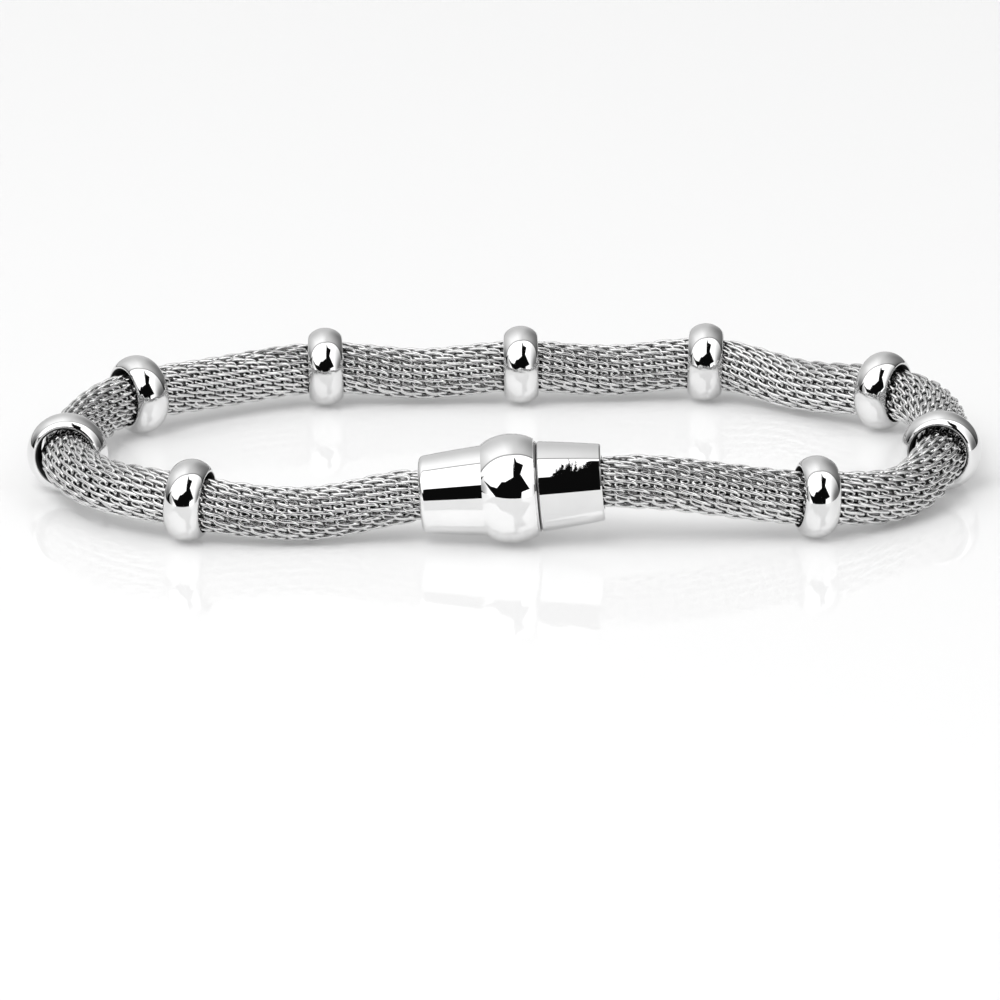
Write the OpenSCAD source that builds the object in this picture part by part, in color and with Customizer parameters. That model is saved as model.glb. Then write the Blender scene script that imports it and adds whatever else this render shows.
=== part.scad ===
// Mesh bracelet: a woven steel tube carrying nine loose ring beads, closed by a
// two-part magnetic clasp. It lies on its side as a closed loop, and the ring
// beads and the clasp's band touch the surface at z = 0.

/* [Loop] */
// Width of the loop between the middles of its outermost beads
loop_w = 73.4; // [68:0.2:90]
// Depth of the loop from the clasp's middle to the back beads, at the same scale
loop_d = 38.2; // [34:0.2:60]

/* [Mesh tube] */
// Outside diameter of the woven tube
mesh_d = 4.1; // [3.6:0.1:4.8]
// Thickness of the woven wall
mesh_wall = 0.7; // [0.4:0.1:1.1]
// Height of the tube's lowest stretches above the surface
mesh_lift = 0.25; // [0.1:0.05:0.5]

/* [Ring beads] */
// Length of a ring bead along the tube
bead_w = 3; // [2.4:0.1:4]
// Radial thickness of a ring bead
bead_wall = 1.05; // [0.8:0.05:1.5]
// Play of the tube in a bead's bore, across the whole bore
bead_play = 0.6; // [0.5:0.05:1]
// Rounding of the bore's two edges
bead_edge = 0.25; // [0.1:0.05:0.4]
// Distance that the tube lies below the middle of a bead
bead_drop = 0.1; // [0:0.05:0.15]

/* [Clasp] */
// Diameter of the clasp's domed band
band_d = 9; // [8.4:0.1:10.5]
// Length of the domed band
band_w = 4.55; // [3.5:0.05:6]
// Height of the band's dome over its edges
band_dome = 0.7; // [0.4:0.05:0.8]
// Diameter of both cones at the band
cone_d = 7.4; // [7:0.1:7.6]
// Diameter of both cones at their free ends
cone_end_d = 6.3; // [5.7:0.1:6.8]
// Length of each cone
cone_l = 5.2; // [4.8:0.1:7]
// Rounding of the left cone's free end
end_round = 0.5; // [0.2:0.05:0.6]
// Bevel of the clasp's crisp edges
edge_bevel = 0.12; // [0.05:0.01:0.2]
// Depth of the seat for the tube in each half
seat_l = 2.7; // [2:0.1:3]
// Diameter of the hidden magnet
magnet_d = 4.6; // [3.5:0.1:5]
// Length of the hidden magnet
magnet_l = 4.5; // [3:0.1:5.5]
// Depth of the magnet's seat in the right half
magnet_seat_l = 1.5; // [1:0.1:1.6]
// Rise of the clasp towards its right end, in degrees
clasp_tilt = 4.7; // [3:0.1:6]
// Turn of the clasp in plan, in degrees
clasp_turn = -1.5; // [-3:0.1:0]

/* [Fits] */
// Gap between the clasp's halves at the seam
seam_gap = 0.1; // [0.05:0.01:0.2]
// Gap round the tube and the magnet in their seats
seat_gap = 0.1; // [0.05:0.01:0.15]

/* [Hidden] */
$fn = 96;

// Columns of the beads' table: place across as a share of half the width, place in
// depth as a share of half the depth, heading of the tube, turn of the bead on the
// tube, lean of the bead, slope of the tube, and sag of the span that follows as a
// share of the full sag. Angles are in degrees.
ACROSS = 0;
DEEP = 1;
HEADING = 2;
TURN = 3;
LEAN = 4;
SLOPE = 5;
SAG = 6;
// Beads in order from the clasp's right end round the back to its left end
BEADS = [
    [ 0.695, -0.930,   9,  1,  4, -3, 0.9],
    [ 0.994, -0.290,  82, -5,  4, -3, 0.2],
    [ 0.886,  0.577, 156, -6,  0,  0, 0.8],
    [ 0.476,  1.010, 174,  3, -1,  0, 0.6],
    [ 0.038,  0.970, 180,  0,  1,  0, 0.7],
    [-0.425,  0.940, 185, -3,  1,  0, 0.2],
    [-0.857,  0.521, 212,  1,  0, -2, 0.6],
    [-0.996, -0.325, 269, -3, -4,  5, 0.0],
    [-0.703, -0.974, 344,  2,  3, -6, 0.9],
];
// Place of the clasp's band in the first two columns
CLASP_AT = [0.015, -0.990];

rings_per_span = 9;
tube_sides = 16;
dome_step = 15;
edge_step = 30;
band_parts = 16;
// Length by which a cut runs past the face that it opens
cut_over = 1;

bore_d = mesh_d + bead_play;
bead_d = bore_d + 2 * bead_wall;
bead_dome = bead_wall - bead_edge;
seat_d = mesh_d + 2 * seat_gap;
magnet_seat_d = magnet_d + 2 * seat_gap;
lowest = mesh_d / 2 + mesh_lift;
dome_r = (pow(band_w / 2, 2) + pow(band_dome, 2)) / (2 * band_dome);
bead_list = [for (i = [0 : len(BEADS) - 1]) i];

// Direction of a piece's axis from its heading and its rise
function along(heading, rise) =
    [cos(heading) * cos(rise), sin(heading) * cos(rise), sin(rise)];

// Half the extent of a ring bead in a direction whose cosine with its axis is c
function bead_reach(c) =
    (bead_d / 2 - bead_dome) * sqrt(1 - c * c)
    + sqrt(pow(bead_dome, 2) * (1 - c * c) + pow(bead_w / 2 * c, 2));

// Half the extent of the clasp's band in such a direction
function band_reach(c) = (band_d / 2 - dome_r) * sqrt(1 - c * c) + dome_r;

clasp_axis = along(clasp_turn, clasp_tilt);
bead_axes = [for (b = BEADS) along(b[HEADING] + b[TURN], -b[LEAN])];

// Middle of a piece that stands on the surface, before the loop is centred
function stand(row, reach) = [row[ACROSS] * loop_w / 2, row[DEEP] * loop_d / 2, reach];
bead_mids = [for (i = bead_list) stand(BEADS[i], bead_reach(bead_axes[i].z))];
band_mid = stand(CLASP_AT, band_reach(clasp_axis.z));

// Middle of the loop's box in direction k, from the beads and the band
function middle(k) =
    let (highs = [for (i = bead_list) bead_mids[i][k] + bead_reach(bead_axes[i][k])],
         lows = [for (i = bead_list) bead_mids[i][k] - bead_reach(bead_axes[i][k])],
         band = band_reach(clasp_axis[k]))
    (max(concat(highs, [band_mid[k] + band]))
     + min(concat(lows, [band_mid[k] - band]))) / 2;
centre = [middle(0), middle(1), 0];

// Free ends of the clasp's two cones
half_l = band_w / 2 + cone_l;
right_end = band_mid + clasp_axis * half_l;
left_end = band_mid - clasp_axis * half_l;

// Stops of the tube's centreline, each with its place, its heading, its slope as a
// tangent, and the sag of the span that follows
stops = concat(
    [[right_end, clasp_turn, tan(clasp_tilt), 0]],
    [for (i = bead_list)
        [bead_mids[i] - [0, 0, bead_drop], BEADS[i][HEADING],
         tan(BEADS[i][SLOPE]), BEADS[i][SAG]]],
    [[left_end, clasp_turn + 360, tan(clasp_tilt), 0]]);
function place(stop) = stop[0];
function heading(stop) = stop[1];
function slope(stop) = stop[2];
function sag(stop) = stop[3];

// Smooth curve between two values with given slopes
function blend(p0, m0, p1, m1, t) =
    (2 * pow(t, 3) - 3 * t * t + 1) * p0 + (pow(t, 3) - 2 * t * t + t) * m0
    + (3 * t * t - 2 * pow(t, 3)) * p1 + (pow(t, 3) - t * t) * m1;

// Length of the arc that turns by an angle over a chord
function arc_length(chord, turn) =
    abs(turn) < 0.1 ? chord : chord * (turn * PI / 360) / sin(turn / 2);

// Height at a share t of a span of length l that sweeps straight from a to b
function sweep(a, b, l, t) =
    blend(place(a).z, slope(a) * l, place(b).z, slope(b) * l, t);

// Height in a span that goes down to its low middle and up again
function dip(a, b, l, t) =
    let (mean = (place(a).z + place(b).z) / 2,
         low = mean + sag(a) * (lowest - mean))
    t < 0.5 ? blend(place(a).z, slope(a) * l / 2, low, 0, 2 * t)
            : blend(low, 0, place(b).z, slope(b) * l / 2, 2 * t - 1);

// Point of the centreline at a share t of the span from stop i. The first span
// leaves the clasp's raised end in one sweep.
function span_point(i, t) =
    let (a = stops[i], b = stops[i + 1], step = place(b) - place(a),
         l = arc_length(norm([step.x, step.y]), heading(b) - heading(a)),
         start = along(heading(a), 0) * l, end = along(heading(b), 0) * l,
         p = blend(place(a), start, place(b), end, t))
    [p.x, p.y, i == 0 ? sweep(a, b, l, t) : dip(a, b, l, t)];

// Centreline of the tube, with its two straight ends in the clasp's seats
stub = clasp_axis * (seat_l - seat_gap);
route = concat(
    [right_end - stub],
    [for (i = [0 : len(stops) - 2]) for (k = [0 : rings_per_span - 1])
        span_point(i, k / rings_per_span)],
    [left_end, left_end + stub]);

function unit(v) = v / norm(v);
function ahead_at(i) =
    unit(route[min(i + 1, len(route) - 1)] - route[max(i - 1, 0)]);

// One ring of points round the centreline, its first point at the bottom
function tube_ring(i, r) =
    let (ahead = ahead_at(i), side = unit(cross([0, 0, 1], ahead)),
         up = cross(ahead, side))
    [for (k = [0 : tube_sides - 1])
        let (w = 360 * k / tube_sides - 90)
        route[i] + r * (cos(w) * side + sin(w) * up)];

// Woven tube: an outer and an inner wall, closed by a flat rim at each end
module mesh_tube() {
    n = tube_sides;
    count = len(route);
    outer = [for (i = [0 : count - 1]) each tube_ring(i, mesh_d / 2)];
    inner = [for (i = [0 : count - 1]) each tube_ring(i, mesh_d / 2 - mesh_wall)];
    base = count * n;
    end = (count - 1) * n;
    walls = [for (i = [0 : count - 2]) for (k = [0 : n - 1])
        let (a = i * n + k, b = i * n + (k + 1) % n)
        each [[a, a + n, b + n], [a, b + n, b],
              [base + a, base + b + n, base + a + n], [base + a, base + b, base + b + n]]];
    rims = [for (k = [0 : n - 1])
        let (a = k, b = (k + 1) % n)
        each [[a, b, base + b], [a, base + b, base + a],
              [end + a, base + end + b, end + b],
              [end + a, base + end + a, base + end + b]]];
    color("silver")
        translate(-centre)
            polyhedron(points = concat(outer, inner), faces = concat(walls, rims));
}

// Puts a piece drawn along Z at a place, with its axis on a heading and a rise
module lay(place, heading, rise) {
    translate(place - centre)
        rotate([0, 0, heading])
            rotate([0, 90 - rise, 0])
                children();
}

// Ring bead: domed outside, a straight bore with rounded edges
module ring_bead(number) {
    row = BEADS[number - 1];
    flat = bead_w / 2 - bead_edge;
    rim_r = bore_d / 2 + bead_edge;
    section = concat(
        [for (w = [0 : dome_step : 180])
            [rim_r + bead_dome * sin(w), bead_w / 2 * cos(w)]],
        [for (w = [edge_step : edge_step : 90])
            [rim_r - bead_edge * sin(w), -flat - bead_edge * cos(w)]],
        [for (w = [90 : -edge_step : edge_step])
            [rim_r - bead_edge * sin(w), flat + bead_edge * cos(w)]]);
    color("lightgray")
        lay(bead_mids[number - 1], row[HEADING] + row[TURN], -row[LEAN])
            rotate_extrude() polygon(section);
}

// Left half of the clasp: a cone and the domed band in one piece
module clasp_left() {
    flare = (cone_d - cone_end_d) / 2 / cone_l;
    band_edge_r = band_d / 2 - band_dome;
    total = cone_l + band_w - seam_gap;
    magnet_floor = cone_l + band_w + magnet_seat_l - magnet_l - 2 * seat_gap;
    outline = concat(
        [[0, 0]],
        [for (w = [0 : dome_step : 90])
            [cone_end_d / 2 + flare * end_round - end_round * (1 - sin(w)),
             end_round * (1 - cos(w))]],
        [[cone_d / 2, cone_l]],
        [for (k = [0 : band_parts - 1])
            let (s = k / band_parts)
            [band_d / 2 - dome_r + sqrt(pow(dome_r, 2) - pow((s - 0.5) * band_w, 2)),
             cone_l + s * band_w]],
        [[band_edge_r, total - edge_bevel], [band_edge_r - edge_bevel, total],
         [0, total]]);
    color("gainsboro")
        lay(left_end, clasp_turn, clasp_tilt)
            difference() {
                rotate_extrude() polygon(outline);
                translate([0, 0, -cut_over])
                    cylinder(d = seat_d, h = seat_l + cut_over);
                translate([0, 0, magnet_floor])
                    cylinder(d = magnet_seat_d, h = total - magnet_floor + cut_over);
            }
}

// Right half of the clasp: a plain cone that meets the band at the seam
module clasp_right() {
    bevel = edge_bevel;
    outline = [[0, 0], [cone_d / 2 - bevel, 0], [cone_d / 2, bevel],
               [cone_end_d / 2, cone_l - bevel], [cone_end_d / 2 - bevel, cone_l],
               [0, cone_l]];
    color("gainsboro")
        lay(right_end - clasp_axis * cone_l, clasp_turn, clasp_tilt)
            difference() {
                rotate_extrude() polygon(outline);
                translate([0, 0, cone_l - seat_l])
                    cylinder(d = seat_d, h = seat_l + cut_over);
                translate([0, 0, -cut_over])
                    cylinder(d = magnet_seat_d, h = magnet_seat_l + cut_over);
            }
}

// Hidden magnet that bridges the seam and holds the halves together
module clasp_magnet() {
    color("dimgray")
        lay(right_end - clasp_axis * (cone_l - magnet_seat_l + seat_gap + magnet_l),
            clasp_turn, clasp_tilt)
            cylinder(d = magnet_d, h = magnet_l);
}

mesh_tube();
ring_bead(1);  // ring_bead_1
ring_bead(2);  // ring_bead_2
ring_bead(3);  // ring_bead_3
ring_bead(4);  // ring_bead_4
ring_bead(5);  // ring_bead_5
ring_bead(6);  // ring_bead_6
ring_bead(7);  // ring_bead_7
ring_bead(8);  // ring_bead_8
ring_bead(9);  // ring_bead_9
clasp_left();
clasp_right();
clasp_magnet();
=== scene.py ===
"""Looks of the mesh bracelet: its woven wire, its polished ring beads and its clasp.

Lengths are in metres and angles in degrees. The tube's centreline, the places of the beads
and the sizes of the clasp repeat the values of the part's construction model.
"""

import logging
import math
from dataclasses import dataclass, field
from enum import Enum
from functools import partialmethod
from typing import NamedTuple, TypeVar, Union

import bpy
from mathutils import Euler, Matrix, Vector

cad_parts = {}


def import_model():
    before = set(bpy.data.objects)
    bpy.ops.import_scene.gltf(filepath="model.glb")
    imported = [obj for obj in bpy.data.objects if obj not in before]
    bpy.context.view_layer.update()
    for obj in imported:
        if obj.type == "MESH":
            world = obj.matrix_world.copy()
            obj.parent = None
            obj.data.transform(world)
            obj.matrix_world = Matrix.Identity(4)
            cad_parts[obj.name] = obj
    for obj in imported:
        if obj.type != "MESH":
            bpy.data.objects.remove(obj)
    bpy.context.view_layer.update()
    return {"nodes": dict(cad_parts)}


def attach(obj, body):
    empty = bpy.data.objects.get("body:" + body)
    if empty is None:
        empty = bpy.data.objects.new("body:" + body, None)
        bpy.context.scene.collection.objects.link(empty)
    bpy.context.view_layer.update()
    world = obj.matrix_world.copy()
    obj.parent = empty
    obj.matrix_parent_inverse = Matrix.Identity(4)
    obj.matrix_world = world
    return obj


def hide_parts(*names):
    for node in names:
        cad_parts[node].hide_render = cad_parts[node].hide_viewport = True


LOG = logging.getLogger("mesh_bracelet")
MM = 0.001
BODY = "root"
# Point attribute of openness; the materials paint shade where it is low
PAINTED_SHADE_OPENNESS = "painted_shade_openness"
SPOKE = "spoke"

Smooth = TypeVar("Smooth", float, Vector)
Operand = Union["Value", tuple, float]
Pair = tuple[float, float]
Outline = tuple[Pair, ...]


class Slot(Enum):
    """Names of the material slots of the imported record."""

    WOVEN = "woven_steel"
    POLISHED = "polished_steel"


def direction(heading: float, rise: float) -> Vector:
    """Gives the unit vector with a heading, from +X towards +Y, and a rise above level."""
    h, r = math.radians(heading), math.radians(rise)
    return Vector((math.cos(h) * math.cos(r), math.sin(h) * math.cos(r), math.sin(r)))


def blend(p0: Smooth, m0: Smooth, p1: Smooth, m1: Smooth, t: float) -> Smooth:
    """Gives the smooth curve from p0 to p1 at the share t of its way.

    m0 and m1 are its slopes at the two ends, for the whole curve as one unit.
    """
    return (
        p0 * (2 * t**3 - 3 * t**2 + 1)
        + m0 * (t**3 - 2 * t**2 + t)
        + p1 * (3 * t**2 - 2 * t**3)
        + m1 * (t**3 - t**2)
    )


def placed(name: str, data: bpy.types.ID) -> bpy.types.Object:
    """Makes an object and puts it in the scene.

    Args:
        name: The object's name.
        data: Its mesh, curve, camera or lamp.

    Returns:
        The object, at the origin.
    """
    made = bpy.data.objects.new(name, data)
    bpy.context.scene.collection.objects.link(made)
    return made


class Value:
    """A node's output that takes part in expressions, as a number or as a vector."""

    def __init__(self, tree: "Tree", socket: bpy.types.NodeSocket) -> None:
        """Wraps a socket of a tree."""
        self.tree = tree
        self.socket = socket
        self.is_vector = socket.type in {"VECTOR", "RGBA"}

    def joined(self, operation: str, other: Operand) -> "Value":
        """Adds a Math node with this value first."""
        return self.tree.math(operation, self, other)

    def joined_last(self, operation: str, other: Operand) -> "Value":
        """Adds a Math node with this value last."""
        return self.tree.math(operation, other, self)

    __add__ = partialmethod(joined, "ADD")
    __radd__ = partialmethod(joined_last, "ADD")
    __sub__ = partialmethod(joined, "SUBTRACT")
    __rsub__ = partialmethod(joined_last, "SUBTRACT")
    __mul__ = partialmethod(joined, "MULTIPLY")
    __rmul__ = partialmethod(joined, "MULTIPLY")
    __truediv__ = partialmethod(joined, "DIVIDE")


class Tree:
    """A node tree that expressions fill, for a material, the world or a modifier."""

    def __init__(self, tree: bpy.types.NodeTree) -> None:
        """Wraps an empty node tree."""
        self.tree = tree

    @classmethod
    def of(cls, owner: bpy.types.ID) -> "Tree":
        """Gives the emptied node tree of a material or a world.

        Args:
            owner: The material or the world.

        Returns:
            Its tree.
        """
        owner.use_nodes = True
        owner.node_tree.nodes.clear()
        return cls(owner.node_tree)

    def node(self, kind: str, inputs: dict | None = None, **settings: object) -> bpy.types.Node:
        """Adds one node of any type.

        Args:
            kind: Blender's name of the node type.
            inputs: A value, a plain number or a tuple for each socket, by name or by place.
            settings: The node's own settings, which are set first.

        Returns:
            The node.
        """
        made = self.tree.nodes.new(kind)
        for name, setting in settings.items():
            setattr(made, name, setting)
        for name, given in (inputs or {}).items():
            self.feed(made.inputs[name], given)
        return made

    def feed(self, socket: bpy.types.NodeSocket, given: object) -> None:
        """Links a value to an input, or sets the input to what is given.

        Args:
            socket: The input.
            given: The value, or a plain number, a tuple or a name.
        """
        if isinstance(given, Value):
            self.tree.links.new(given.socket, socket)
        else:
            socket.default_value = given

    def value(self, kind: str, inputs: dict | None = None, output: str | int = 0,
              **settings: object) -> Value:
        """Adds one node as node does, and gives one of its outputs, by name or by place."""
        return Value(self, self.node(kind, inputs, **settings).outputs[output])

    def math(self, operation: str, *operands: Operand) -> Value:
        """Adds a Math node, or a Vector Math node if an operand is a vector.

        Args:
            operation: The node's operation. A vector times a number is a scaled vector.
            operands: Values, plain numbers or tuples, in order.

        Returns:
            The result.
        """
        vectors = [isinstance(o, tuple) or getattr(o, "is_vector", False) for o in operands]
        if operation == "MULTIPLY" and vectors == [True, False]:
            return self.value("ShaderNodeVectorMath", {0: operands[0], "Scale": operands[1]},
                              operation="SCALE")
        kind = "ShaderNodeVectorMath" if any(vectors) else "ShaderNodeMath"
        return self.value(kind, dict(enumerate(operands)), operation=operation)

    def step(self, value: Value, low: float, high: float) -> Value:
        """Gives a smooth step from 0 at low to 1 at high."""
        return self.value("ShaderNodeMapRange",
                          {"Value": value, "From Min": low, "From Max": high},
                          interpolation_type="SMOOTHSTEP")

    def curve(self, value: Value, points: Outline, reach: Pair, top: float) -> Value:
        """Gives a curve's height at a value, with straight lines between its points.

        Args:
            value: Where the curve is read.
            points: Pairs of a place and a height.
            reach: The first and the last place.
            top: A height above all of the points.

        Returns:
            The height.
        """
        span = reach[1] - reach[0]
        made = self.node("ShaderNodeFloatCurve", {"Value": (value - reach[0]) / span})
        line = made.mapping.curves[0].points
        while len(line) < len(points):
            line.new(1.0, 1.0)
        for point, (place, height) in zip(line, points):
            point.location = ((place - reach[0]) / span, height / top)
            point.handle_type = "VECTOR"
        made.mapping.update()
        return Value(self, made.outputs[0]) * top

    def mix(self, factor: Value, a: Operand, b: Operand) -> Value:
        """Mixes two colours, b by the factor, through the colour sockets of a Mix node."""
        return self.value("ShaderNodeMix", {"Factor": factor, 6: a, 7: b}, 2, data_type="RGBA")

    def parts(self, vector: Value) -> tuple[Value, ...]:
        """Splits a vector into its three parts."""
        made = self.node("ShaderNodeSeparateXYZ", {0: vector})
        return tuple(Value(self, out) for out in made.outputs)


def grey(level: float) -> tuple[float, ...]:
    """Gives a neutral colour of a brightness."""
    return (level, level, level, 1.0)


@dataclass(frozen=True)
class MetalFinish:
    """A bare metal surface with fine changes in tone, gloss and height.

    Where its openness is low, as in a bore, it takes painted shade: its hollow tone and
    hollow metal share lower its brightness and its metal share. The openness counts from
    hollow_from to hollow_to.
    """

    name: str
    dark: float
    bright: float
    smooth: float
    rough: float
    grain: float
    relief: float
    painted_hollow_shade: float = 1.0
    hollow_from: float = 0.0
    hollow_to: float = 1.0
    hollow_metal: float = 1.0

    CLOUD_GRAINS = 12
    CLOUD_EDGES = (0.3, 0.7)
    FINE_EDGES = (0.35, 0.7)
    HOLLOW_ROUGH = 0.7

    def material(self) -> bpy.types.Material:
        """Builds the material.

        Returns:
            The material, whose patterns lie on Object coordinates.
        """
        made = bpy.data.materials.new(self.name)
        tree = Tree.of(made)
        place = tree.value("ShaderNodeTexCoord", None, "Object")
        clouds = tree.value("ShaderNodeTexNoise",
                            {"Vector": place, "Scale": 1 / (self.CLOUD_GRAINS * self.grain),
                             "Detail": 3.0})
        fine = tree.value("ShaderNodeTexNoise",
                          {"Vector": place, "Scale": 1 / self.grain, "Detail": 4.0})
        tone = tree.mix(tree.step(clouds, *self.CLOUD_EDGES), grey(self.dark), grey(self.bright))
        gloss = self.smooth + (self.rough - self.smooth) * tree.step(fine, *self.FINE_EDGES)
        metal = 1.0
        # Painted shade: where the openness is low the colour darkens, and where the hollow metal
        # share is set it also turns matt and rough
        if self.painted_hollow_shade < 1:
            painted_shade_openness = tree.value("ShaderNodeAttribute", None, "Fac", attribute_name=PAINTED_SHADE_OPENNESS)
            openness = tree.step(painted_shade_openness, self.hollow_from, self.hollow_to)
            tone = tree.mix(openness, grey(self.dark * self.painted_hollow_shade), tone)
            if self.hollow_metal < 1:
                metal = self.hollow_metal + (1 - self.hollow_metal) * openness
                gloss = self.HOLLOW_ROUGH * (1 - openness) + gloss * openness
        bump = tree.value("ShaderNodeBump",
                          {"Strength": 1.0, "Distance": self.relief, "Height": fine}, "Normal")
        shader = tree.value("ShaderNodeBsdfPrincipled",
                            {"Base Color": tone, "Metallic": metal, "Roughness": gloss,
                             "Specular IOR Level": 0.0, "Normal": bump})
        tree.node("ShaderNodeOutputMaterial", {"Surface": shader})
        return made


# The hollow numbers below set painted shade: in the bores of beads and clasp, at the clasp's seam
# and deep in the weave
MIRROR_STEEL = MetalFinish("mirror_steel", dark=0.84, bright=0.88, smooth=0.01, rough=0.03,
                           grain=0.25 * MM, relief=0.0002 * MM, painted_hollow_shade=0.04,
                           hollow_from=0.2, hollow_to=0.8, hollow_metal=0.0)
POLISHED_STEEL = MetalFinish("polished_steel", dark=0.78, bright=0.83, smooth=0.03, rough=0.07,
                             grain=0.25 * MM, relief=0.0002 * MM, painted_hollow_shade=0.04,
                             hollow_from=0.45, hollow_to=0.9, hollow_metal=0.0)
WOVEN_STEEL = MetalFinish("woven_steel", dark=0.72, bright=0.82, smooth=0.12, rough=0.22,
                          grain=0.12 * MM, relief=0.004 * MM, painted_hollow_shade=0.3)
NICKEL_PLATE = MetalFinish("nickel_plate", dark=0.42, bright=0.50, smooth=0.30, rough=0.45,
                           grain=0.2 * MM, relief=0.002 * MM)


@dataclass(frozen=True)
class BeadStop:
    """Where a ring bead holds the tube, as in the construction model's table."""

    across: float
    deep: float
    heading: float
    turn: float
    lean: float
    slope: float
    sag: float


BEADS = (
    BeadStop(0.695, -0.930, 9, 1, 4, -3, 0.9),
    BeadStop(0.994, -0.290, 82, -5, 4, -3, 0.2),
    BeadStop(0.886, 0.577, 156, -6, 0, 0, 0.8),
    BeadStop(0.476, 1.010, 174, 3, -1, 0, 0.6),
    BeadStop(0.038, 0.970, 180, 0, 1, 0, 0.7),
    BeadStop(-0.425, 0.940, 185, -3, 1, 0, 0.2),
    BeadStop(-0.857, 0.521, 212, 1, 0, -2, 0.6),
    BeadStop(-0.996, -0.325, 269, -3, -4, 5, 0.0),
    BeadStop(-0.703, -0.974, 344, 2, 3, -6, 0.9),
)


def paint(piece: bpy.types.Object, finish: bpy.types.Material) -> None:
    """Gives an object its only material.

    Args:
        piece: The object.
        finish: The material.
    """
    piece.data.materials.clear()
    piece.data.materials.append(finish)
    LOG.info("%s: %s on %d faces", piece.name, finish.name, len(piece.data.polygons))


def dress(piece: bpy.types.Object, finish: bpy.types.Material,
          node: str) -> None:
    """Gives a finished piece its material and its body, and hides the node it stands for.

    Args:
        piece: The object, in place.
        finish: Its material.
        node: The construction node that it replaces.
    """
    paint(piece, finish)
    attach(piece, BODY)
    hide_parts(node)


@dataclass(frozen=True)
class Lathed:
    """A round solid: a closed outline of (radius, height) turned about an axis.

    openness holds a number for each point of the outline, low where the surface is hidden;
    the material paints shade there.
    """

    name: str
    outline: Outline
    openness: tuple[float, ...]
    start: Vector
    axis: Vector
    steps: int

    CRISP = 32

    def build(self) -> bpy.types.Object:
        """Builds the mesh in place, its axis along the given direction.

        Returns:
            The object at the origin, shaded smooth apart from its crisp edges.
        """
        turn = self.axis.to_track_quat("Z", "Y").to_matrix()
        rows = []
        verts = []
        painted_shade_openness = []
        for (radius, height), openness in zip(self.outline, self.openness):
            row = []
            for k in range(self.steps if radius > 0 else 1):
                w = 2 * math.pi * k / self.steps
                row.append(len(verts))
                verts.append(self.start + turn @ Vector(
                    (radius * math.cos(w), radius * math.sin(w), height)))
                painted_shade_openness.append(openness)
            rows.append(row)
        closing = rows[:1] if len(rows[0]) > 1 else []
        faces = []
        for low, high in zip(rows, rows[1:] + closing):
            for k in range(self.steps):
                after = (k + 1) % self.steps
                ring = (low[k % len(low)], low[after % len(low)],
                        high[after % len(high)], high[k % len(high)])
                faces.append(tuple(dict.fromkeys(ring)))
        mesh = bpy.data.meshes.new(self.name)
        mesh.from_pydata(verts, [], faces)
        mesh.attributes.new(PAINTED_SHADE_OPENNESS, "FLOAT", "POINT").data.foreach_set("value", painted_shade_openness)
        mesh.shade_smooth()
        mesh.set_sharp_from_angle(angle=math.radians(self.CRISP))
        return placed(self.name, mesh)


def arc(mid: Pair, radius: float, start: float, end: float, parts: int) -> list[Pair]:
    """Gives points along an arc in the (radius, height) plane, both ends included.

    Its angles go from the radius direction towards the height.
    """
    angles = [math.radians(start + (end - start) * k / parts) for k in range(parts + 1)]
    return [(mid[0] + radius * math.cos(w), mid[1] + radius * math.sin(w)) for w in angles]


@dataclass
class RingBeads:
    """Nine ring beads, domed outside, with a bore that has play round the tube."""

    finish: bpy.types.Material
    width: float = 3.0 * MM
    wall: float = 1.05 * MM
    bore: float = 4.7 * MM
    edge: float = 0.25 * MM
    crown: float = 1.4
    dome_parts: int = 40
    edge_parts: int = 6
    steps: int = 128

    @property
    def outer(self) -> float:
        """Outside radius."""
        return self.bore / 2 + self.wall

    @property
    def dome(self) -> float:
        """Height of the dome over the rounded edges of the bore."""
        return self.wall - self.edge

    def reach(self, cosine: float) -> float:
        """Gives half a bead's extent in a direction, whose angle to its axis has a cosine."""
        sine = math.sqrt(1 - cosine**2)
        return (self.outer - self.dome) * sine + math.hypot(
            self.dome * sine, self.width / 2 * cosine)

    def outline(self) -> Outline:
        """Gives the section of a bead.

        Returns:
            The closed section, counterclockwise, without its last point twice.
        """
        rim = self.bore / 2 + self.edge
        flat = self.width / 2 - self.edge
        swings = [math.pi * (k / self.dome_parts - 0.5) for k in range(self.dome_parts + 1)]
        dome = [(rim + self.dome * max(0.0, math.cos(w)) ** self.crown,
                 self.width / 2 * math.sin(w)) for w in swings]
        top = arc((rim, flat), self.edge, 90, 180, self.edge_parts)
        low = arc((rim, -flat), self.edge, 180, 270, self.edge_parts)
        return tuple(dome[:-1] + top + low[:-1])

    def build(self, loop: "Loop") -> None:
        """Builds the beads, each in place of its construction node.

        Args:
            loop: Gives each bead's middle and axis.
        """
        outline = self.outline()
        # Openness is low in the bore, which the material paints dark as shade
        openness = tuple((radius - self.bore / 2) / self.edge for radius, _ in outline)
        for number, (middle, axis) in enumerate(zip(loop.bead_mids, loop.bead_axes), 1):
            bead = Lathed(f"polished_bead_{number}", outline, openness, middle, axis, self.steps)
            dress(bead.build(), self.finish, f"ring_bead_{number}")


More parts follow.
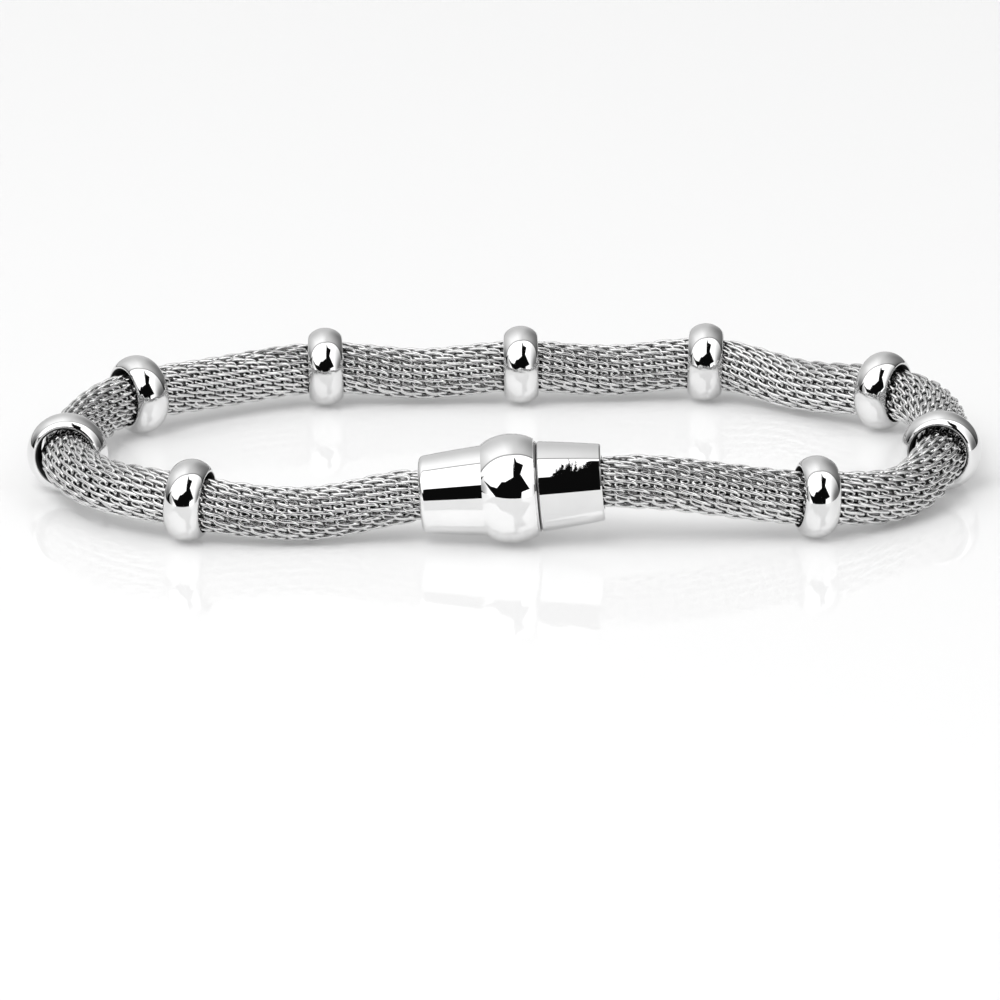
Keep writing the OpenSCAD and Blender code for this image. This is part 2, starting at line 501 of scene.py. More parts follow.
@dataclass
class Clasp:
    """Magnetic clasp: a cone with the domed band, and a plain cone that meets it."""

    finish: bpy.types.Material
    band_d: float = 9.0 * MM
    band_w: float = 4.55 * MM
    band_dome: float = 0.7 * MM
    cone_d: float = 7.4 * MM
    cone_end_d: float = 6.3 * MM
    cone_l: float = 5.2 * MM
    end_round: float = 0.5 * MM
    bevel: float = 0.12 * MM
    seat_d: float = 4.3 * MM
    seat_l: float = 2.7 * MM
    magnet_seat_d: float = 4.8 * MM
    magnet_l: float = 4.5 * MM
    magnet_seat_l: float = 1.5 * MM
    seam_gap: float = 0.1 * MM
    seat_gap: float = 0.1 * MM
    tilt: float = 4.7
    turn: float = -1.5
    barrel: float = 0.03 * MM
    # Openness at the seam face and how fast it rises away from it; the material paints shade in
    # the seam where it is low
    seam_openness: float = 0.5
    seam_rise: float = 8
    cone_parts: int = 24
    dome_parts: int = 48
    edge_parts: int = 6
    steps: int = 192

    @property
    def axis(self) -> Vector:
        """Direction from the left half to the right half."""
        return direction(self.turn, self.tilt)

    @property
    def dome_r(self) -> float:
        """Radius of the band's dome along the clasp."""
        return ((self.band_w / 2) ** 2 + self.band_dome**2) / (2 * self.band_dome)

    @property
    def half_l(self) -> float:
        """Distance from the band's middle to each free end."""
        return self.band_w / 2 + self.cone_l

    @property
    def left_l(self) -> float:
        """Length of the left half, from its free end to its face at the seam."""
        return self.cone_l + self.band_w - self.seam_gap

    @property
    def stub(self) -> float:
        """Length of the tube in each seat."""
        return self.seat_l - self.seat_gap

    def reach(self, cosine: float) -> float:
        """Gives half the band's extent in a direction, whose angle to its axis has a cosine."""
        return (self.band_d / 2 - self.dome_r) * math.sqrt(1 - cosine**2) + self.dome_r

    def cone_side(self, start: Pair, end: Pair) -> list[Pair]:
        """Gives a cone's side with both its ends, bulged by the barrel's height in its middle."""
        shares = [k / self.cone_parts for k in range(self.cone_parts + 1)]
        return [(start[0] + (end[0] - start[0]) * s + 4 * self.barrel * s * (1 - s),
                 start[1] + (end[1] - start[1]) * s) for s in shares]

    def left_outline(self) -> Outline:
        """Gives the left half's section.

        Returns:
            The section, from the seat's floor round the outside to the magnet's floor.
        """
        flare = (self.cone_d - self.cone_end_d) / 2 / self.cone_l
        total = self.left_l
        floor = self.cone_l + self.band_w + self.magnet_seat_l - self.magnet_l - 2 * self.seat_gap
        end_r = self.cone_end_d / 2 + flare * self.end_round
        edge_r = self.band_d / 2 - self.band_dome
        mouth = [(0.0, self.seat_l), (self.seat_d / 2, self.seat_l), (self.seat_d / 2, 0.0)]
        end = arc((end_r - self.end_round, self.end_round), self.end_round, -90, 0,
                  2 * self.edge_parts)
        side = self.cone_side((end_r, self.end_round), (self.cone_d / 2, self.cone_l))
        dome_mid = (self.band_d / 2 - self.dome_r, self.cone_l + self.band_w / 2)
        swing = math.degrees(math.asin(self.band_w / 2 / self.dome_r))
        dome = arc(dome_mid, self.dome_r, -swing, swing, self.dome_parts)
        dome = [p for p in dome if p[1] < total - self.bevel]
        face = [(edge_r, total - self.bevel), (edge_r - self.bevel, total),
                (self.magnet_seat_d / 2, total), (self.magnet_seat_d / 2, floor), (0.0, floor)]
        return tuple(mouth + end + side[1:] + dome + face)

    def right_outline(self) -> Outline:
        """Gives the right half's section.

        Returns:
            The section, from the magnet's seat round the outside to the tube's seat.
        """
        big, small = self.cone_d / 2, self.cone_end_d / 2
        seat = self.cone_l - self.seat_l
        magnet_r = self.magnet_seat_d / 2
        mouth = [(0.0, self.magnet_seat_l), (magnet_r, self.magnet_seat_l), (magnet_r, 0.0),
                 (big - self.bevel, 0.0)]
        side = self.cone_side((big, self.bevel), (small, self.cone_l - self.bevel))
        end = [(small - self.bevel, self.cone_l), (self.seat_d / 2, self.cone_l),
               (self.seat_d / 2, seat), (0.0, seat)]
        return tuple(mouth + side + end)

    def openness(self, outline: Outline, seam: float) -> tuple[float, ...]:
        """Gives how open a half's section is at each point: low in its bores and at the seam,
        where its material paints shade.
        """
        return tuple(
            min((radius - self.seat_d / 2) / self.bevel,
                self.seam_rise * abs(seam - height) / self.bevel + self.seam_openness)
            for radius, height in outline
        )

    def build(self, loop: "Loop") -> None:
        """Builds both halves, each in place of its construction node.

        Args:
            loop: Gives the places of the clasp's two ends.
        """
        halves = (
            ("left", self.left_outline(), self.left_l, loop.left_end),
            ("right", self.right_outline(), 0.0, loop.right_end - self.axis * self.cone_l),
        )
        for name, outline, seam, start in halves:
            half = Lathed(f"polished_clasp_{name}", outline, self.openness(outline, seam),
                          start, self.axis, self.steps)
            dress(half.build(), self.finish, f"clasp_{name}")


class Stop(NamedTuple):
    """A place that the tube's centreline goes through. Its slope is a tangent."""

    place: Vector
    heading: float
    slope: float
    sag: float


@dataclass
class Loop:
    """The closed loop: where the beads and the clasp stand, and the tube's centreline."""

    beads: RingBeads
    clasp: Clasp
    width: float = 73.4 * MM
    depth: float = 38.2 * MM
    mesh_d: float = 4.1 * MM
    mesh_lift: float = 0.25 * MM
    bead_drop: float = 0.1 * MM
    clasp_across: float = 0.015
    clasp_deep: float = -0.990
    steps_per_span: int = 36
    straight: float = 0.002
    centre: Vector = field(init=False)
    bead_mids: list[Vector] = field(init=False)
    bead_axes: list[Vector] = field(init=False)
    right_end: Vector = field(init=False)
    left_end: Vector = field(init=False)

    def __post_init__(self) -> None:
        """Works out the places of the beads and of the clasp's ends."""
        self.bead_axes = [direction(b.heading + b.turn, -b.lean) for b in BEADS]
        mids = [Vector((b.across * self.width / 2, b.deep * self.depth / 2,
                        self.beads.reach(axis.z))) for b, axis in zip(BEADS, self.bead_axes)]
        band = Vector((self.clasp_across * self.width / 2, self.clasp_deep * self.depth / 2,
                       self.clasp.reach(self.clasp.axis.z)))
        self.centre = Vector((0.0, 0.0, 0.0))
        for k in range(2):
            reaches = [self.beads.reach(axis[k]) for axis in self.bead_axes]
            reaches.append(self.clasp.reach(self.clasp.axis[k]))
            ends = [m[k] + side * r for m, r in zip([*mids, band], reaches) for side in (-1, 1)]
            self.centre[k] = (max(ends) + min(ends)) / 2
        self.bead_mids = [m - self.centre for m in mids]
        half = self.clasp.axis * self.clasp.half_l
        self.right_end = band - self.centre + half
        self.left_end = band - self.centre - half

    def stops(self) -> list[Stop]:
        """Gives the stops of the centreline.

        Returns:
            The stops, from the clasp's right end round the back to its left end.
        """
        slope = math.tan(math.radians(self.clasp.tilt))
        drop = Vector((0.0, 0.0, self.bead_drop))
        middle = [Stop(place - drop, b.heading, math.tan(math.radians(b.slope)), b.sag)
                  for place, b in zip(self.bead_mids, BEADS)]
        return [Stop(self.right_end, self.clasp.turn, slope, 0.0), *middle,
                Stop(self.left_end, self.clasp.turn + 360, slope, 0.0)]

    def height(self, a: Stop, b: Stop, length: float, t: float, sweep: bool) -> float:
        """Gives the centreline's height in a span.

        Args:
            a: The stop where the span starts.
            b: The stop where it ends.
            length: The span's length in plan.
            t: Share of the span.
            sweep: True if it goes straight from a to b, without a low middle.

        Returns:
            The height.
        """
        if sweep:
            return blend(a.place.z, a.slope * length, b.place.z, b.slope * length, t)
        mean = (a.place.z + b.place.z) / 2
        low = mean + a.sag * (self.mesh_d / 2 + self.mesh_lift - mean)
        if t < 0.5:
            return blend(a.place.z, a.slope * length / 2, low, 0.0, 2 * t)
        return blend(low, 0.0, b.place.z, b.slope * length / 2, 2 * t - 1)

    def span(self, number: int) -> list[Vector]:
        """Gives the centreline of one span, from its first stop up to its last.

        Args:
            number: The span's number, 0 from the clasp's right end.

        Returns:
            The points, both ends included.
        """
        a, b = self.stops()[number:number + 2]
        length = (b.place - a.place).to_2d().length
        half_turn = math.radians(b.heading - a.heading) / 2
        if abs(half_turn) > self.straight / 2:
            length *= half_turn / math.sin(half_turn)
        points = []
        for k in range(self.steps_per_span + 1):
            t = k / self.steps_per_span
            p = blend(a.place, direction(a.heading, 0) * length,
                      b.place, direction(b.heading, 0) * length, t)
            p.z = self.height(a, b, length, t, number == 0)
            points.append(p)
        return points

    def centreline(self) -> list[Vector]:
        """Gives the whole centreline, with its straight ends in the clasp's seats.

        Returns:
            The points, from the right seat to the left seat.
        """
        stub = self.clasp.axis * self.clasp.stub
        points = [self.right_end - stub]
        for number in range(len(BEADS) + 1):
            points.extend(self.span(number)[:-1])
        return points + [self.left_end, self.left_end + stub]


@dataclass(frozen=True)
class WireLayer:
    """A layer of rings in the tube's wall.

    sink is how far it lies under the outermost layer, thickness is its wire's share of the
    outer wire, turn_share and pitch_share are its offsets, and tone is its openness, low
    where it takes painted shade.
    """

    sink: float
    parts: int
    sides: int
    thickness: float
    turn_share: float
    pitch_share: float
    tone: float


@dataclass
class Winding:
    """The nodes that wind one layer of a tube's rings.

    given holds the tree's inputs by name. draw sets the layer's random numbers apart.
    """

    tube: "WovenTube"
    tree: Tree
    given: dict[str, Value]
    layer: WireLayer
    draw: int

    def wires(self) -> Value:
        """Winds the wires.

        Returns:
            Their geometry, whose points hold their openness, which the material turns into
            painted shade.
        """
        tube, tree, given, layer = self.tube, self.tree, self.given, self.layer
        count = given["Turns"] * layer.parts
        circle = tree.value("GeometryNodeCurvePrimitiveCircle", {"Resolution": count},
                            mode="RADIUS")
        rings = tree.node("GeometryNodeDuplicateElements",
                          {"Geometry": circle, "Amount": given["Rings"]}, domain="SPLINE")
        number = Value(tree, rings.outputs["Duplicate Index"])
        ring = number + given["First ring"]
        index = tree.math("MODULO", tree.value("GeometryNodeInputIndex"), count)
        turn = tree.math("FLOOR", index / layer.parts)
        phase = index / layer.parts * math.tau
        odd = tree.math("MODULO", ring, 2.0)
        shift = self.jitter(ring, 1)
        wobble = self.jitter(ring * given["Turns"] + turn, 2)
        lift = tree.math("COSINE", phase)
        middle_at = (number + (0.5 + layer.pitch_share)) * given["Pitch"]
        along = (given["Start"] + middle_at + shift * tube.ring_shift
                 + tree.math("SINE", phase) * given["Coil width"] * 0.5)
        radius = (given["Outer radius"] + self.change(middle_at) - layer.sink
                  - given["Wire radius"] * layer.thickness
                  - (1 - lift) * given["Coil thickness"] * 0.5 - (1 - wobble) * tube.turn_fall)
        hook = tree.math("SINE", phase * 2) * (tube.hook / (4 * math.pi)) / given["Turns"]
        share = (odd * 0.5 + layer.turn_share) / given["Turns"]
        angle = (index / count - hook + share + wobble * tube.turn_shift) * math.tau
        middle, spoke = self.spoke(along, angle)
        wound = tree.value("GeometryNodeSetPosition",
                           {"Geometry": Value(tree, rings.outputs[0]),
                            "Position": middle + spoke * radius})
        # Painted shade: a coil's inner side and the deeper layers get low openness, so the
        # material darkens them
        openness = (lift * tube.inner_shade_swing + (1 - tube.inner_shade_swing)) * layer.tone
        marked = self.store(self.store(wound, SPOKE, spoke), PAINTED_SHADE_OPENNESS, openness)
        section = tree.value("GeometryNodeCurvePrimitiveCircle",
                             {"Resolution": layer.sides,
                              "Radius": given["Wire radius"] * layer.thickness}, mode="RADIUS")
        return self.shade_flanks(tree.value("GeometryNodeCurveToMesh",
                                            {"Curve": marked, "Profile Curve": section}))

    def change(self, middle_at: Value) -> Value:
        """Gives how much the tube's radius changes at a ring near either end of the span."""
        left_over = self.given["Rings"] * self.given["Pitch"] - middle_at
        return sum(
            (1 - self.tree.step(distance - self.given[f"Reach {end}"], -self.tube.ease, 0.0))
            * self.given[f"Change {end}"]
            for end, distance in (("before", middle_at), ("after", left_over))
        )

    def spoke(self, along: Value, angle: Value) -> tuple[Value, Value]:
        """Gives the centreline's point at a length, and the spoke from it at an angle.

        Args:
            along: The length.
            angle: The angle in radians, from the level side towards the top.

        Returns:
            The point and the unit vector.
        """
        tree = self.tree
        track = tree.node("GeometryNodeSampleCurve",
                          {"Curves": self.given["Centreline"], "Length": along}, mode="LENGTH")
        ahead = Value(tree, track.outputs["Tangent"])
        side = tree.math("NORMALIZE", tree.math("CROSS_PRODUCT", (0.0, 0.0, 1.0), ahead))
        up = tree.math("CROSS_PRODUCT", ahead, side)
        return (Value(tree, track.outputs["Position"]),
                side * tree.math("COSINE", angle) + up * tree.math("SINE", angle))

    def store(self, geometry: Value, name: str, value: Value) -> Value:
        """Stores a value on a geometry's points, and gives the geometry with it."""
        return self.tree.value("GeometryNodeStoreNamedAttribute",
                               {"Geometry": geometry, "Name": name, "Value": value},
                               data_type="FLOAT_VECTOR" if value.is_vector else "FLOAT",
                               domain="POINT")

    def shade_flanks(self, wires: Value) -> Value:
        """Lowers the openness where a wire faces the tube's hollow, so the material paints shade
        there.

        Args:
            wires: The wires, whose points hold their spoke and their openness.

        Returns:
            The wires with the new openness and without their spoke.
        """
        tree = self.tree
        spoke, before = (tree.value("GeometryNodeInputNamedAttribute", {"Name": name},
                                    data_type=kind)
                         for name, kind in ((SPOKE, "FLOAT_VECTOR"), (PAINTED_SHADE_OPENNESS, "FLOAT")))
        facing = tree.value("ShaderNodeVectorMath",
                            {0: tree.value("GeometryNodeInputNormal"), 1: spoke}, "Value",
                            operation="DOT_PRODUCT")
        share = 1 - self.tube.flank_shade * (1 - tree.step(facing, *self.tube.FLANK_EDGES))
        return tree.value("GeometryNodeRemoveAttribute",
                          {"Geometry": self.store(wires, PAINTED_SHADE_OPENNESS, before * share),
                           "Name": SPOKE})

    def jitter(self, number: Value, offset: int) -> Value:
        """Gives a random number from -1 to 1 for each ring or turn, other for each offset."""
        seed = self.given["Seed"] + (offset + 2 * self.draw)
        return self.tree.value("FunctionNodeRandomValue",
                               {2: -1.0, 3: 1.0, "ID": number, "Seed": seed}, 1,
                               data_type="FLOAT")


@dataclass
class WovenTube:
    """Tube of woven wire: flat coils bent round into rings, each hooked in the next."""

    finish: bpy.types.Material
    turns: int = 10
    coil_w: float = 1.7 * MM
    coil_t: float = 0.34 * MM
    wire_d: float = 0.29 * MM
    outer_r: float = 2.27 * MM
    seat_change: float = -0.16 * MM
    bead_change: float = -0.1 * MM
    bead_reach: float = 1.6 * MM
    ease: float = 0.8 * MM
    # This swing and flank_shade below set the painted shade on each coil's inner side and on wire
    # flanks facing the hollow
    inner_shade_swing: float = 0.25
    flank_shade: float = 0.5
    hook: float = 0.6
    ring_shift: float = 0.05 * MM
    turn_fall: float = 0.02 * MM
    turn_shift: float = 0.003
    seed: int = 7

    PITCHES = (1.05, 1.02, 1.0, 1.0, 1.0, 1.0, 1.0, 1.0, 0.98, 0.935)
    # A layer's last number is its openness; the inner layer's low one paints it dark as shade
    LAYERS = (
        WireLayer(0.0, 14, 6, 1.0, 0.0, 0.0, 1.0),
        WireLayer(0.2 * MM, 12, 5, 1.0, 0.5, 0.0, 1.0),
        WireLayer(0.45 * MM, 8, 5, 1.5, 0.25, 0.5, 0.1),
    )
    FLANK_EDGES = (-0.5, 0.6)
    KINDS = {int: "NodeSocketInt", float: "NodeSocketFloat"}

    def inputs(self, first: int = 0, rings: int = 1, start: float = 0.0, length: float = 0.0,
               before: Pair = (0.0, 0.0), after: Pair = (0.0, 0.0)) -> dict[str, object]:
        """Gives the inputs of the winding tree for one span.

        Args:
            first: The number of its first ring.
            rings: How many rings it has.
            start: Where it starts along the centreline.
            length: Its length.
            before: How far the fit at its start reaches, and how it changes the radius.
            after: The same at its end.

        Returns:
            The inputs by name.
        """
        return {
            "First ring": first, "Rings": rings, "Start": start, "Pitch": length / rings,
            "Reach before": before[0], "Change before": before[1],
            "Reach after": after[0], "Change after": after[1],
            "Turns": self.turns, "Coil width": self.coil_w, "Coil thickness": self.coil_t,
            "Outer radius": self.outer_r, "Wire radius": self.wire_d / 2,
            "Seed": self.seed, "Finish": self.finish,
        }

    def tree(self) -> bpy.types.NodeTree:
        """Builds the tree that winds a run of rings round a centreline, in all layers.

        Returns:
            The tree, whose first input is the centreline's geometry.
        """
        group = bpy.data.node_groups.new("woven_rings", "GeometryNodeTree")
        new_socket = group.interface.new_socket
        new_socket("Centreline", in_out="INPUT", socket_type="NodeSocketGeometry")
        for name, value in self.inputs().items():
            kind = self.KINDS.get(type(value), "NodeSocketMaterial")
            new_socket(name, in_out="INPUT", socket_type=kind)
        new_socket("Wire", in_out="OUTPUT", socket_type="NodeSocketGeometry")
        tree = Tree(group)
        given = {s.name: Value(tree, s) for s in tree.node("NodeGroupInput").outputs if s.name}
        joined = tree.node("GeometryNodeJoinGeometry")
        for draw, layer in enumerate(self.LAYERS):
            tree.feed(joined.inputs[0], Winding(self, tree, given, layer, draw).wires())
        smooth = tree.value("GeometryNodeSetShadeSmooth",
                            {"Geometry": Value(tree, joined.outputs[0])})
        real = tree.value("GeometryNodeRealizeInstances", {"Geometry": smooth})
        done = tree.value("GeometryNodeSetMaterial",
                          {"Geometry": real, "Material": given["Finish"]})
        tree.node("NodeGroupOutput", {0: done})
        return group

    def weave(self, points: list[Vector], group: bpy.types.NodeTree, inputs: dict[str, object],
              name: str) -> bpy.types.Object:
        """Winds the wires of one span as a plain mesh.

        Args:
            points: The tube's centreline.
            group: The tree that winds them.
            inputs: The tree's inputs for the span.
            name: The piece's name.

        Returns:
            The piece.
        """
        curve = bpy.data.curves.new("tube_centreline", "CURVE")
        curve.dimensions = "3D"
        spline = curve.splines.new("POLY")
        spline.points.add(len(points) - 1)
        for point, place in zip(spline.points, points):
            point.co = (*place, 1.0)
        source = placed("tube_centreline", curve)
        modifier = source.modifiers.new("weave", "NODES")
        modifier.node_group = group
        sockets = {s.name: s.identifier for s in group.interface.items_tree}
        for key, value in inputs.items():
            modifier[sockets[key]] = value
        evaluated = source.evaluated_get(bpy.context.evaluated_depsgraph_get())
        mesh = bpy.data.meshes.new_from_object(evaluated)
        mesh.name = name
        bpy.data.objects.remove(source)
        return placed(name, mesh)

    def build(self, loop: Loop) -> None:
        """Builds the weave, one piece for each span, in place of the tube's node.

        Args:
            loop: Gives the centreline.
        """
        group = self.tree()
        stub = loop.clasp.stub
        in_seat = (stub + self.ease, self.seat_change)
        in_bead = (self.bead_reach, self.bead_change)
        last = len(self.PITCHES) - 1
        start = self.coil_w / 2
        first = 0
        for number, pitch in enumerate(self.PITCHES):
            points = loop.span(number)
            length = sum((b - a).length for a, b in zip(points, points[1:]))
            if number in (0, last):
                length += stub - self.coil_w / 2
            rings = round(length / (pitch * MM))
            inputs = self.inputs(first, rings, start, length,
                                 in_seat if number == 0 else in_bead,
                                 in_seat if number == last else in_bead)
            piece = self.weave(loop.centreline(), group, inputs, f"woven_span_{number + 1}")
            dress(piece, self.finish, "mesh_tube")
            first += rings
            start += length


@dataclass
class Studio:
    """Pale floor, wide lamp and the camera."""

    floor_size: float = 6.0
    floor_front: float = 122 * MM
    floor_tone: float = 0.72
    floor_gloss: float = 0.12
    floor_rough: float = 0.05
    floor_glow: float = 0.16
    lens: float = 241.57
    sensor: float = 36.0
    clip: Pair = (0.01, 20.0)
    distance: float = 575 * MM
    elevation: float = 18.0
    target_back: float = 7.75 * MM
    target_right_px: float = 5.0
    target_up_px: float = 60.0
    frame_px: float = 1000.0
    key_heading: float = -115.0
    key_rise: float = 52.0
    key_distance: float = 0.6
    key_size: float = 0.3
    key_watts: float = 1.2

    def camera(self, loop: Loop) -> None:
        """Makes the camera at the photograph's angle.

        Args:
            loop: Gives the place that the camera's target is measured from.
        """
        data = bpy.data.cameras.new("camera")
        data.sensor_width = self.sensor
        data.lens = self.lens
        data.clip_start, data.clip_end = self.clip
        made = placed("camera", data)
        target = Vector((0.0, self.target_back, 0.0)) - loop.centre
        towards = direction(-90, self.elevation)
        focal_px = self.lens / self.sensor * self.frame_px
        down = math.atan(self.target_up_px / focal_px)
        left = math.atan(self.target_right_px / focal_px)
        aim = (-towards).to_track_quat("-Z", "Y") @ Euler((-down, left, 0.0)).to_quaternion()
        made.matrix_world = Matrix.LocRotScale(target + towards * self.distance, aim, None)
        bpy.context.scene.camera = made

    def floor(self) -> None:
        """Makes the pale floor, with a faint gloss."""
        mesh = bpy.data.meshes.new("floor")
        half = self.floor_size / 2
        near = -self.floor_front
        mesh.from_pydata([(-half, near, 0), (half, near, 0), (half, half, 0), (-half, half, 0)],
                         [], [(0, 1, 2, 3)])
        finish = bpy.data.materials.new("pale_floor")
        tree = Tree.of(finish)
        matt = tree.value("ShaderNodeBsdfDiffuse", {"Color": grey(self.floor_tone)})
        shiny = tree.value("ShaderNodeBsdfGlossy",
                           {"Color": grey(1.0), "Roughness": self.floor_rough})
        both = tree.value("ShaderNodeMixShader", {0: self.floor_gloss, 1: matt, 2: shiny})
        glow = tree.value("ShaderNodeEmission", {"Strength": self.floor_glow})
        lit = tree.value("ShaderNodeAddShader", {0: both, 1: glow})
        tree.node("ShaderNodeOutputMaterial", {"Surface": lit})
        mesh.materials.append(finish)
        placed("floor", mesh)

    def key_light(self) -> None:
        """Makes the wide lamp over the front, which no polished surface mirrors."""
        data = bpy.data.lights.new("key_light", "AREA")
        data.size = self.key_size
        data.energy = self.key_watts
        made = placed("key_light", data)
        towards = direction(self.key_heading, self.key_rise)
        made.matrix_world = Matrix.LocRotScale(
            towards * self.key_distance, towards.to_track_quat("Z", "Y"), None)
        made.visible_glossy = False


@dataclass
class Surroundings:
    """Soft light from all round, with the dark front of the room in it.

    A ray's direction has x across, y away from the camera and z up. Pairs named EDGES are
    where a smooth change starts and ends, and a shade is the share of the light it takes.
    """

    elevation: float
    tree: Tree = field(init=False)

    DARK = 0.004
    SEAM_SLANT = 0.22
    SEAM_SHADE = 0.66
    SIDE_SHADE = 0.6
    RIM_SHADE = 0.6
    FRONT_EDGES = (0.04, 0.07)
    SEAM_BACK_EDGES = (0.01, 0.04)
    SEAM_FRONT_EDGES = (0.07, 0.11)
    FOOT_EDGES = (0.15, 0.95)
    LOW_EDGES = (0.1, 0.55)
    SIDE_EDGES = (0.72, 0.95)
    RIM_EDGES = (0.02, 0.09)

    ACROSS = (-1, 1)
    BRIGHTEST = 2
    REAR = ((-1, 0.3), (-0.85, 0.7), (-0.6, 1.2), (-0.18, 1.25), (-0.04, 1.05), (0.08, 0.83),
            (0.3, 0.72), (0.6, 0.48), (0.8, 0.25), (0.95, 0.08), (1, 0.08))
    REAR_FOOT = ((-1, 0.3), (-0.6, 0.6), (-0.2, 0.7), (0, 0.66), (0.1, 0.62), (0.25, 0.4),
                 (0.45, 0.2), (0.7, 0.1), (1, 0.08))
    FRONT = ((-1, 0.9), (-0.85, 1.6), (0.55, 1.75), (0.85, 0.85), (1, 0.35))

    DARK_REACH = (-0.6, 0.4)
    HIGHEST = 60
    BODY_TOP = ((-0.6, 27), (-0.546, 27), (-0.418, 20.5), (-0.295, 18.5), (-0.2, 25),
                (-0.125, 25), (0.066, 30.9), (0.183, 33.3), (0.366, 18.3), (0.38, 8), (0.4, 8))
    BODY_FOOT = ((-0.6, 29), (-0.56, 27.5), (-0.434, 16.2), (-0.31, 8), (-0.25, 6),
                 (0.198, 6), (0.208, 14.4), (0.366, 17.8), (0.38, 12), (0.4, 12))
    FLAG_TOP = ((-0.6, 0), (0.0305, 0), (0.0345, 33), (0.039, 41), (0.044, 49.5), (0.053, 51),
                (0.057, 45), (0.061, 43), (0.065, 52), (0.085, 52), (0.117, 47), (0.25, 44.3),
                (0.256, 0), (0.4, 0))
    FLAG_FOOT = ((-0.6, 20), (0.02, 24), (0.183, 33.3), (0.25, 44.3), (0.4, 60))
    BAND_EDGES = (-0.4, 0.4)

    LEAN = 0.0006
    LEAN_FROM = 30
    TEETH_SCALE = 500.0
    TEETH_HEIGHT = 36
    TEETH_DROP = 3
    TEETH_EDGES = (0.056, 0.066)
    CURL_ACROSS = -0.53
    CURL_ANGLE = 22.8
    CURL_TALL = 10.3
    CURL_WIDTHS = (0.21, 0.09)
    CURL_EDGES = (0.85, 1.15)
    CURL_SIDE_EDGES = (-0.54, -0.52)

    def __post_init__(self) -> None:
        """Gives the scene a world, whose tree is filled later."""
        bpy.context.scene.world = bpy.data.worlds.new("studio")
        self.tree = Tree.of(bpy.context.scene.world)

    def build(self) -> None:
        """Fills the world's tree."""
        tree = self.tree
        ray = tree.value("ShaderNodeTexCoord", None, "Generated")
        dark = self.dark_front(ray)
        level = self.room(ray) * (1 - dark) + self.DARK * dark
        seen = tree.value("ShaderNodeLightPath", None, "Is Camera Ray")
        level = level * (1 - seen) + seen
        back = tree.value("ShaderNodeBackground", {"Color": grey(1.0), "Strength": level})
        tree.node("ShaderNodeOutputWorld", {"Surface": back})

    def room(self, ray: Value) -> Value:
        """Gives the brightness of the room's walls and ceiling.

        Args:
            ray: The ray's direction.

        Returns:
            The brightness.
        """
        tree = self.tree
        x, y, z = tree.parts(ray)
        seam_at = y - tree.math("MAXIMUM", x, 0.0) * self.SEAM_SLANT
        front = 1 - tree.step(seam_at, *self.FRONT_EDGES)
        foot = tree.step(y, *self.FOOT_EDGES)
        lights = [tree.curve(x, points, self.ACROSS, self.BRIGHTEST)
                  for points in (self.REAR, self.REAR_FOOT, self.FRONT)]
        level = (lights[0] * (1 - foot) + lights[1] * foot) * (1 - front) + lights[2] * front
        seam = (tree.step(seam_at, *self.SEAM_BACK_EDGES)
                * (1 - tree.step(seam_at, *self.SEAM_FRONT_EDGES)))
        side = (tree.step(tree.math("ABSOLUTE", x), *self.SIDE_EDGES)
                * (1 - tree.step(z, *self.LOW_EDGES)))
        rim = (1 - front) * (1 - tree.step(z, *self.RIM_EDGES))
        for shade, mask in ((self.SEAM_SHADE, seam), (self.SIDE_SHADE, side),
                            (self.RIM_SHADE, rim)):
            level = level * (1 - shade * mask)
        return level

    def dark_front(self, ray: Value) -> Value:
        """Gives the mask of the room's dark front, which polished metal mirrors.

        Its outline lies on two angles of the direction halfway between a ray and the front
        of the set: the share across, and the angle up in degrees. The body is wide and low,
        the flag stands on it with a ragged top, and the curl ends it on the left.

        Args:
            ray: The ray's direction.

        Returns:
            1 in the dark and 0 outside.
        """
        tree = self.tree
        halfway = tree.math("NORMALIZE", ray + tuple(direction(-90, self.elevation)))
        across, towards, above = tree.parts(halfway)
        angle = tree.math("ARCTAN2", above, towards * -1.0) * math.degrees(1)
        upright = across + (angle - self.LEAN_FROM) * self.LEAN
        teeth = tree.value("ShaderNodeTexNoise",
                           {"W": upright, "Scale": self.TEETH_SCALE, "Detail": 1.0},
                           noise_dimensions="1D") - 0.5
        ragged = ((teeth * self.TEETH_HEIGHT - self.TEETH_DROP)
                  * (1 - tree.step(upright, *self.TEETH_EDGES)))
        body = self.band(across, angle, self.BODY_TOP, self.BODY_FOOT, 0.0)
        flag = self.band(upright, angle, self.FLAG_TOP, self.FLAG_FOOT, ragged)
        rise = tree.math("POWER", (angle - self.CURL_ANGLE) / self.CURL_TALL, 2.0)
        wide, slim = (
            tree.step(tree.math("POWER", (across - self.CURL_ACROSS) / width, 2.0) + rise,
                      *self.CURL_EDGES)
            for width in self.CURL_WIDTHS
        )
        curl = (1 - wide) * slim * (1 - tree.step(across, *self.CURL_SIDE_EDGES))
        return tree.math("MAXIMUM", tree.math("MAXIMUM", body, flag), curl)

    def band(self, across: Value, angle: Value, top: Outline, foot: Outline,
             ragged: Operand) -> Value:
        """Gives 1 between two curves of the angle over the share across, and 0 outside.

        ragged is added to the upper curve.
        """
        high, low = (self.tree.curve(across, points, self.DARK_REACH, self.HIGHEST)
                     for points in (top, foot))
        return ((1 - self.tree.step(angle - (high + ragged), *self.BAND_EDGES))
                * self.tree.step(angle - low, *self.BAND_EDGES))


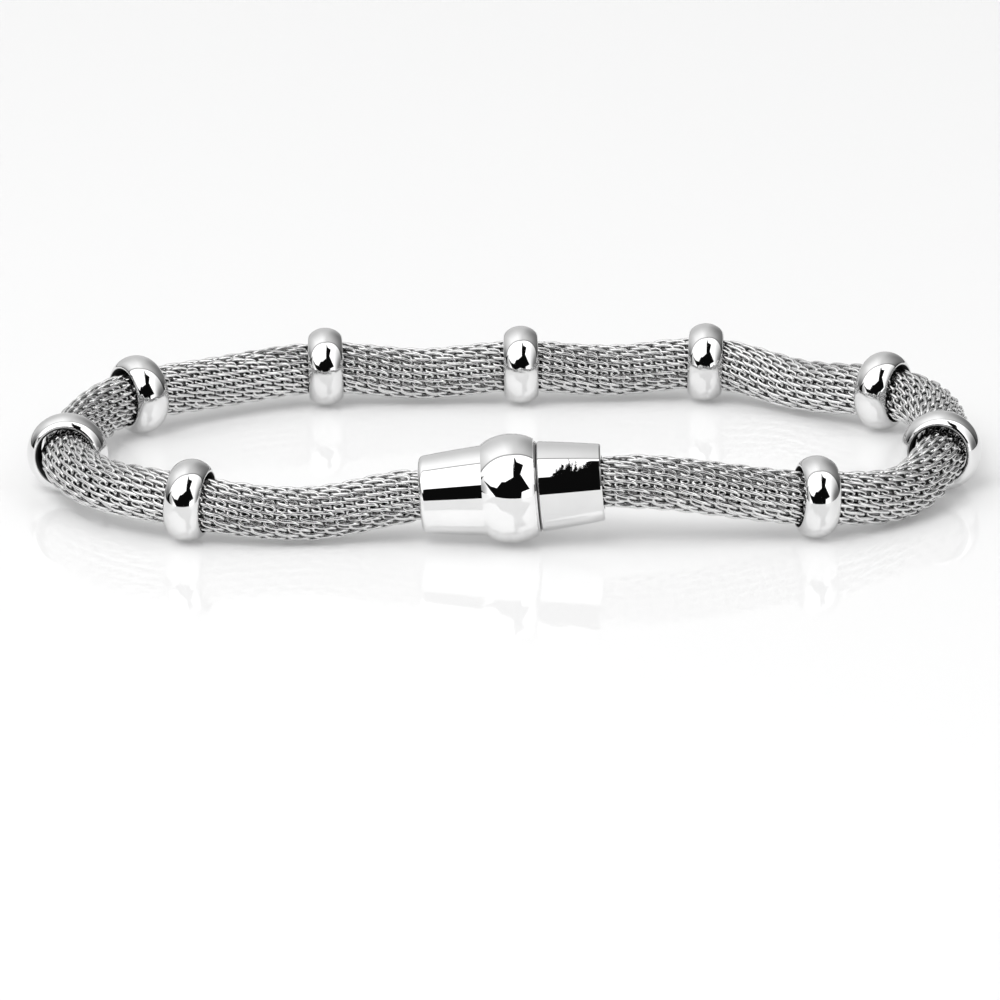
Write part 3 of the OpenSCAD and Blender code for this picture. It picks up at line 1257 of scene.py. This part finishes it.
def main() -> None:
    """Builds the bracelet's looks round its construction model."""
    logging.basicConfig(level=logging.INFO, format="%(name)s: %(message)s")
    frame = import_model()
    bpy.context.scene.view_settings.view_transform = "Standard"
    clasp = Clasp(MIRROR_STEEL.material())
    beads = RingBeads(POLISHED_STEEL.material())
    tube = WovenTube(WOVEN_STEEL.material())
    loop = Loop(beads, clasp)
    studio = Studio()
    studio.camera(loop)
    for group in (tube, beads, clasp):
        group.build(loop)
    paint(frame["nodes"]["clasp_magnet"], NICKEL_PLATE.material())
    studio.floor()
    studio.key_light()
    Surroundings(studio.elevation).build()


if __name__ == "__main__":
    main()
